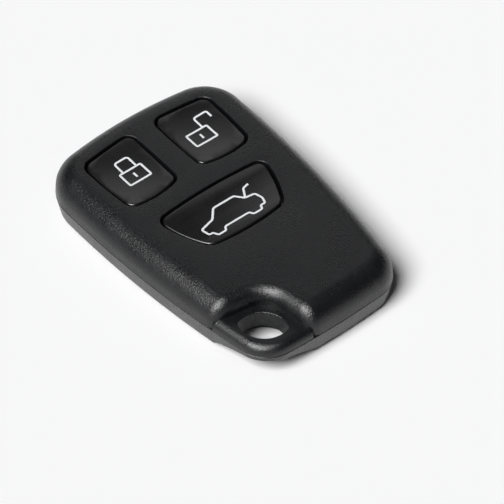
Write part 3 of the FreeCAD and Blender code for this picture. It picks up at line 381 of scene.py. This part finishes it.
def keypad_frame():
    """The rest of the keypad: its skirt on the board and the web that the pads stand in."""
    # The blank and its cutters are removed again once the frame is cut
    blank = linked_object(joined_solid("keypad_mat"), "keypad_blank")
    cutters = []
    for node in ("lock_button", "unlock_button", "boot_button"):
        # Each cutter starts 1 mm above the mat's top and goes 2 mm below it
        tool, _ = flange_face(node)
        grow_face(tool, FRAME_GAP * MM)
        bmesh.ops.translate(tool, verts=tool.verts, vec=Vector((0.0, 0.0, MM)))
        lower_copy(tool, 3.0 * MM)
        cutter = linked_object(tool, node + "_cutter")
        cut = blank.modifiers.new(node, "BOOLEAN")
        cut.operation, cut.solver, cut.object = "DIFFERENCE", "EXACT", cutter
        cutters.append(cutter)
    shape = bmesh.new()
    shape.from_object(blank, bpy.context.evaluated_depsgraph_get())
    for item in cutters + [blank]:
        bpy.data.objects.remove(item)
    bmesh.ops.remove_doubles(shape, verts=shape.verts, dist=JOIN_PIECE * MM)
    smooth_below(shape, 30.0)
    piece = finish_mesh(shape, "keypad_frame", "mat_silicone", "case")
    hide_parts("keypad_mat")


keypad_frame()
for side in ("lock", "unlock", "boot"):
    low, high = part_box(side + "_plunger")
    sprung_pad(side + "_pad", side + "_button",
               (low[0] + high[0]) / 2 / MM, (low[1] + high[1]) / 2 / MM)


def face_under(cap):
    """A look-up of the height of a button's face at any place on the plan, in millimetres."""
    shape = bmesh.new()
    shape.from_mesh(cap.data)
    tree = BVHTree.FromBMesh(shape)
    shape.free()

    def height(x, y):
        spot = tree.ray_cast(Vector((x * MM, y * MM, 20 * MM)), Vector((0.0, 0.0, -1.0)))[0]
        return spot.z / MM
    return height


def beside(corner, other, ease):
    """A point shortly along the way from a corner to its neighbour."""
    run = Vector(other) - Vector(corner)
    return Vector(corner) + run * min(ease / run.length, 0.45)


def eased(points, ease, closed):
    """The same line with a point added shortly before and after each corner."""
    line = []
    for i, corner in enumerate(points):
        if closed or i > 0:
            line.append(beside(corner, points[i - 1], ease))
        line.append(Vector(corner))
        if closed or i < len(points) - 1:
            line.append(beside(corner, points[(i + 1) % len(points)], ease))
    return line


def printed_line(curve, points, ease, closed):
    """Add one stroke of a mark, in millimetres on the plan, to a curve."""
    line = eased(points, ease, closed)
    spline = curve.splines.new("NURBS")
    spline.points.add(len(line) - 1)
    for spot, place in zip(spline.points, line):
        spot.co = (place.x, place.y, 0.0, 1.0)
    spline.order_u = 3
    spline.use_cyclic_u = closed
    spline.use_endpoint_u = not closed
    spline.resolution_u = 8


def printed_mark(name, strokes, cap, body):
    """A raised white print: flattened strokes that lie on a button's dished face."""
    height = face_under(cap)
    line = bpy.data.curves.new(name, "CURVE")
    line.dimensions = "3D"
    line.bevel_depth = MARK_WIDTH / 2
    line.bevel_resolution = 2
    line.use_fill_caps = True
    for points, ease, closed in strokes:
        printed_line(line, points, ease, closed)
    holder = bpy.data.objects.new(name + "_line", line)
    shape = bmesh.new()
    shape.from_mesh(bpy.data.meshes.new_from_object(holder))
    bpy.data.objects.remove(holder)
    for point in shape.verts:
        x, y, z = point.co
        point.co = Vector((x, y, height(x, y) + z * 2 * MARK_TALL / MARK_WIDTH)) * MM
    bmesh.ops.remove_doubles(shape, verts=shape.verts, dist=JOIN_PIECE * MM)
    bmesh.ops.recalc_face_normals(shape, faces=shape.faces)
    smooth_below(shape, 60.0)
    return finish_mesh(shape, name, "symbol_print", body)


def padlock(x, y, swing):
    """Strokes of a padlock whose body has its middle at x, y; swing lifts and turns the bow."""
    body = [(x - 2.3, y - 2.0), (x + 2.3, y - 2.0), (x + 2.3, y + 1.2), (x - 2.3, y + 1.2)]
    foot = y + 2.3 if swing else y + 1.2
    bow = [(x - 1.45 + swing, y + 1.2), (x - 1.45 + swing, y + 3.9), (x + 1.45 + swing, y + 3.9),
           (x + 1.45 + swing, foot)]
    slot = [(x, y + 0.15), (x, y - 1.0)]
    return [(body, 0.55, True), (bow, 1.4, False), (slot, 0.3, False)]


printed_mark("lock_mark", padlock(*LOCK_PLACE, 0.0), lock_cap, "lock_button")
printed_mark("unlock_mark", padlock(*UNLOCK_PLACE, 2.9), unlock_cap, "unlock_button")

# The outline of a car and its raised boot lid, in millimetres on the plan
CAR_BODY = [
    (-6.7, -3.4), (-7.0, -1.7), (-4.0, -0.95), (-2.2, 1.1), (2.4, 1.1), (3.7, -0.45), (5.7, -0.75),
    (6.1, -2.3), (5.7, -3.6), (4.7, -3.65), (4.3, -4.5), (2.5, -4.5), (2.0, -3.65), (-3.3, -3.65),
    (-3.8, -4.5), (-5.4, -4.5), (-5.9, -3.5),
]
CAR_LID = [(3.8, -0.4), (4.9, 1.5), (6.2, 1.8)]
printed_mark("boot_mark", [(CAR_BODY, 0.8, True), (CAR_LID, 0.6, False)], boot_cap, "boot_button")


def add_floor():
    """A pale matt table."""
    shape = bmesh.new()
    bmesh.ops.create_grid(shape, x_segments=2, y_segments=2, size=1.5)
    floor = linked_object(shape, "floor")
    material, _, shader = new_material("pale table", 0.6)
    shader.inputs["Base Color"].default_value = (0.96, 0.96, 0.965, 1.0)
    shader.inputs["Specular IOR Level"].default_value = 0.0
    floor.data.materials.append(material)


def add_sun(name, towards, strength, spread, shine_only=False):
    """A wide soft lamp that shines from a direction, or a card that is only seen mirrored."""
    lamp = bpy.data.lights.new(name, "SUN")
    lamp.energy = strength
    lamp.angle = math.radians(spread)
    holder = bpy.data.objects.new(name, lamp)
    holder.visible_diffuse = not shine_only
    holder.rotation_euler = Vector(towards).to_track_quat("Z", "Y").to_euler()
    bpy.context.scene.collection.objects.link(holder)


def add_world(level):
    """An even grey room light."""
    world = bpy.data.worlds.new("room")
    bpy.context.scene.world = world
    world.use_nodes = True
    world.node_tree.nodes["Background"].inputs["Color"].default_value = (level, level, level, 1.0)


def add_camera():
    """The photograph's view: from the corner with the eye, well above the table."""
    distance = 0.706
    turn, drop = math.radians(39.22), math.radians(47.45)
    level = Vector((math.sin(turn), math.cos(turn), 0.0))
    ahead = level * math.cos(drop) - Vector((0.0, 0.0, math.sin(drop)))
    right = Vector((math.cos(turn), -math.sin(turn), 0.0))
    up = right.cross(ahead)
    aim = Vector((2.55, -3.82, 0.0)) * MM
    place = Matrix((right, up, -ahead)).transposed().to_4x4()
    place.translation = aim - ahead * distance
    lens = bpy.data.cameras.new("camera")
    lens.sensor_width = 36.0
    lens.lens = 285.714
    lens.clip_start = 0.01
    holder = bpy.data.objects.new("camera", lens)
    holder.matrix_world = place
    bpy.context.scene.collection.objects.link(holder)
    bpy.context.scene.camera = holder


add_floor()
add_sun("left softbox", (-0.58, -0.17, 0.80), 3.72, 30.0)
add_sun("high card", (-0.34, 0.02, 0.94), 1.1, 26.0, shine_only=True)
add_sun("front card", (-0.80, -0.22, 0.56), 2.5, 44.0, shine_only=True)
add_sun("back card", (0.52, 0.69, 0.49), 0.26, 34.0, shine_only=True)
add_world(0.03)
add_camera()
bpy.context.scene.view_settings.view_transform = "Standard"
